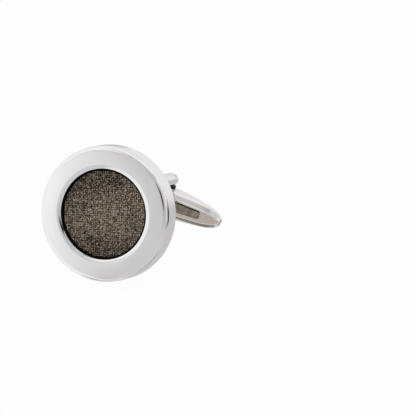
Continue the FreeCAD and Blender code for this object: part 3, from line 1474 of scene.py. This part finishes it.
    def build_spring(self) -> bpy.types.Object:
        """Fold the spring: one leaf on the pin, one that closes the slot, and a tail that holds it.

        Returns:
            The spring, which rests on the lower side of its slot.
        """
        top_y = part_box("leaf_spring")[0].y
        spring = self.slot_block("folded_spring", top_y, self.spring_play)
        leaf_y = self.slot_floor_y - self.spring_thickness
        spring.split(along_post(leaf_y), along_post(1.0))
        spring.pick_faces(
            lambda middle, normal: normal.x > SQUARELY and middle.x > 0.0 and middle.y > leaf_y
        )
        spring.extrude(ACROSS * self.spring_tail)
        fold_x = self.slot_length - self.spring_play - self.spring_thickness
        spring.cut(Workpiece.block(
            "leaf_gap",
            Vector((-self.half_length, top_y + self.spring_thickness, -self.slot_width)),
            Vector((fold_x, leaf_y, self.slot_width)),
        ))
        spring.pick_all()
        spring.move(UP * -self.spring_sag)
        return spring.finish()

    def build_body(self) -> bpy.types.Object:
        """Wrap a skin round the sections from tip to tip, then cut the slot and the hinge's bore.

        Returns:
            The toggle's body.
        """
        half = self.stations()
        places = [-x for x in reversed(half[1:])] + half
        body = Workpiece.skin("torpedo_toggle", [self.section(x) for x in places])
        body.cut(self.slot_block("slot_tool", self.face_y - MM))
        tail_half = self.slot_end_width / 2
        leaf_y = self.slot_floor_y - self.spring_thickness
        body.cut(Workpiece.block(
            "slit_tool",
            Vector((self.slot_length - MM, leaf_y - NEAR, -tail_half)),
            Vector((self.slot_length + self.spring_tail, self.slot_floor_y, tail_half)),
        ))
        body.drill_hinge(self.bore_radius, self.axis_y, self.depth, self.bore_segments)
        return body.finish(self.crease_deg)

    def build(self) -> None:
        """Build the body, and dress it and the spring."""
        metal = replace(self.plating, satin_y=self.face_y + NEAR).make()
        dress(self.build_body(), metal, Body.TOGGLE, Slot.TOGGLE_METAL, "toggle_body")
        dress(self.build_spring(), self.spring.make(), Body.TOGGLE, Slot.SPRING, "leaf_spring")


@dataclass(frozen=True)
class Card:
    """A tinted card in the room, which only polished surfaces show."""

    name: str
    bearings_deg: Pair
    heights_deg: Pair
    softness_deg: float
    tint: Colour

    def hang(self, recipe: Recipe, light: Any, bearing: Signal, height: Signal) -> Signal:
        """Put the card in front of the light that comes from a bearing and a height."""
        mask = self._inside(bearing, self.bearings_deg) * self._inside(height, self.heights_deg)
        return recipe.blend(mask, light, self.tint, "MULTIPLY")

    def _inside(self, angle: Signal, limits_deg: Pair) -> Signal:
        """One between two angles, with soft edges outside them.

        Args:
            angle: The angle to test.
            limits_deg: The two angles.

        Returns:
            The mask.
        """
        middle = math.radians(sum(limits_deg) / 2)
        half = math.radians(limits_deg[1] - limits_deg[0]) / 2
        outside = abs((angle - middle).wrapped())
        return outside.eased(half, half + math.radians(self.softness_deg), 1.0, 0.0)


@dataclass
class Studio:
    """A plain white table and backdrop, soft light and the camera."""

    floor_reach: float = 3.0
    floor_drop: float = 0.01 * MM
    floor_colour: Colour = (0.92, 0.92, 0.92)
    floor_glow: float = 0.95
    camera_azimuth_deg: float = 18.23
    camera_elevation_deg: float = 10.4
    camera_roll_deg: float = 15.9
    camera_distance: float = 600 * MM
    nearest_share: float = 0.1
    farthest_share: float = 100.0
    sensor_width_mm: float = 36.0
    frame_pixels: float = 416.0
    pixels_per_metre: float = 8060.0
    opening_pixel: Pair = (102.7, 214.3)
    matt_light: Colour = (0.72, 0.72, 0.72)
    key_size: float = 0.25
    key_power: float = 0.6
    key_place: tuple[float, float, float] = (-0.25, -0.3, 0.35)
    white: Colour = (1.0, 1.0, 1.0)
    cards: tuple[Card, ...] = (
        Card("grey wall", (-12.0, 56.0), (-67.0, 52.0), 19.0, (0.69, 0.68, 0.68)),
        Card("camera", (20.0, 36.0), (10.0, 27.0), 4.0, (0.05, 0.045, 0.04)),
        Card("right card", (90.0, 106.0), (0.0, 19.0), 6.0, (0.72, 0.68, 0.63)),
        Card("right gap", (112.0, 148.0), (3.5, 17.0), 6.0, (0.08, 0.06, 0.04)),
        Card("table on the right", (70.0, 142.0), (-90.0, 0.0), 8.0, (0.69, 0.66, 0.66)),
        Card("under the toggle", (-140.0, -90.0), (-86.0, -71.0), 6.0, (0.24, 0.22, 0.19)),
        Card("under the tip", (-240.0, -140.0), (-90.0, -82.0), 5.0, (0.34, 0.32, 0.29)),
        Card("top of the tent", (-36.0, -26.0), (11.0, 14.0), 22.0, (0.78, 0.75, 0.73)),
        Card("high on the left", (-53.0, -14.0), (48.0, 54.5), 4.5, (0.66, 0.635, 0.61)),
        Card("low on the right", (112.0, 138.0), (-58.0, -33.0), 6.0, (0.68, 0.66, 0.63)),
        Card("high on the right", (70.0, 80.0), (57.5, 63.0), 3.0, (0.2, 0.18, 0.15)),
        Card("table in front", (-34.0, -19.0), (-65.0, -26.0), 14.0, (0.92, 0.9, 0.89)),
        Card("table behind", (150.0, 205.0), (-60.0, 3.0), 11.0, (0.7, 0.68, 0.665)),
        Card("left wall", (-204.0, -120.0), (-33.0, 86.0), 20.0, (0.88, 0.87, 0.89)),
        Card("upper right", (13.0, 122.0), (9.0, 32.0), 30.0, (0.8, 0.79, 0.77)),
    )

    def build_camera(self) -> None:
        """Set the camera so that the head's opening lands where the photograph has it."""
        azimuth = math.radians(self.camera_azimuth_deg)
        elevation = math.radians(self.camera_elevation_deg)
        back = Vector((
            math.sin(azimuth) * math.cos(elevation),
            -math.cos(azimuth) * math.cos(elevation),
            math.sin(elevation),
        ))
        level = Vector((math.cos(azimuth), math.sin(azimuth), 0.0))
        right = Matrix.Rotation(math.radians(self.camera_roll_deg), 3, back) @ level
        up = back.cross(right)
        middle = self.frame_pixels / 2
        aside = (self.opening_pixel[0] - middle) / self.pixels_per_metre
        above = (middle - self.opening_pixel[1]) / self.pixels_per_metre
        opening = along_post(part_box("bezel_cup")[0].y)
        place = opening + back * self.camera_distance - right * aside - up * above
        lens = bpy.data.cameras.new("camera")
        lens.sensor_width = self.sensor_width_mm
        lens.lens = (
            self.sensor_width_mm * self.pixels_per_metre * self.camera_distance / self.frame_pixels
        )
        lens.clip_start = self.camera_distance * self.nearest_share
        lens.clip_end = self.camera_distance * self.farthest_share
        camera = bpy.data.objects.new("camera", lens)
        axes = Matrix((right, up, back)).transposed().to_4x4()
        camera.matrix_world = Matrix.Translation(place) @ axes
        bpy.context.scene.collection.objects.link(camera)
        bpy.context.scene.camera = camera

    def build_floor(self) -> None:
        """Lay the table under the head."""
        clear_bench()
        low = CAD_BOX[0].z - self.floor_drop
        bpy.ops.mesh.primitive_plane_add(size=2 * self.floor_reach, location=(0.0, 0.0, low))
        floor = bpy.context.active_object
        floor.name = "table"
        floor.visible_glossy = False
        material, recipe = new_material("white_table")
        lit = recipe.read("ShaderNodeBsdfDiffuse", None, {"Color": self.floor_colour})
        shown = recipe.read("ShaderNodeEmission", None, {"Color": self.white, "Strength": 1.0})
        seen = recipe.read("ShaderNodeLightPath", output="Is Camera Ray") * self.floor_glow
        mixed = recipe.read("ShaderNodeMixShader", None, {0: seen, 1: lit, 2: shown})
        recipe.node("ShaderNodeOutputMaterial", None, {"Surface": mixed})
        floor.data.materials.append(material)

    def build_world(self) -> None:
        """Light the room: white for the eye, softer for matt surfaces, cards for polished ones."""
        scene = bpy.context.scene
        scene.view_settings.view_transform = "Standard"
        scene.world = bpy.data.worlds.new("studio")
        scene.world.use_nodes = True
        recipe = Recipe(scene.world.node_tree)
        x, y, z = recipe.place("Generated")
        bearing = x.bearing(0.0 - y)
        height = z.arcsine()
        room: Any = self.white
        for card in self.cards:
            room = card.hang(recipe, room, bearing, height)
        path = recipe.node("ShaderNodeLightPath")
        light = recipe.blend(path.outputs["Is Glossy Ray"], self.matt_light, room)
        light = recipe.blend(path.outputs["Is Camera Ray"], light, self.white)
        shine = recipe.read("ShaderNodeBackground", None, {"Color": light, "Strength": 1.0})
        recipe.node("ShaderNodeOutputWorld", None, {"Surface": shine})

    def build_key(self) -> None:
        """Hang the soft lamp that gives the object its shadow."""
        lamp = bpy.data.lights.new("key", "AREA")
        lamp.shape = "DISK"
        lamp.size = self.key_size
        lamp.energy = self.key_power
        key = bpy.data.objects.new("key", lamp)
        key.location = self.key_place
        key.rotation_euler = Vector(self.key_place).to_track_quat("Z", "Y").to_euler()
        key.visible_glossy = False
        bpy.context.scene.collection.objects.link(key)

    def build(self) -> None:
        """Set up camera, floor and light."""
        self.build_camera()
        self.build_floor()
        self.build_world()
        self.build_key()


def main() -> None:
    """Build the studio and the cufflink's sub-assemblies in order."""
    logging.basicConfig(level=logging.INFO)
    for part in (Studio(), Head(), WovenInlay(), Post(), Hinge(), Toggle()):
        LOG.info("building %s", type(part).__name__)
        part.build()


if __name__ == "__main__":
    main()
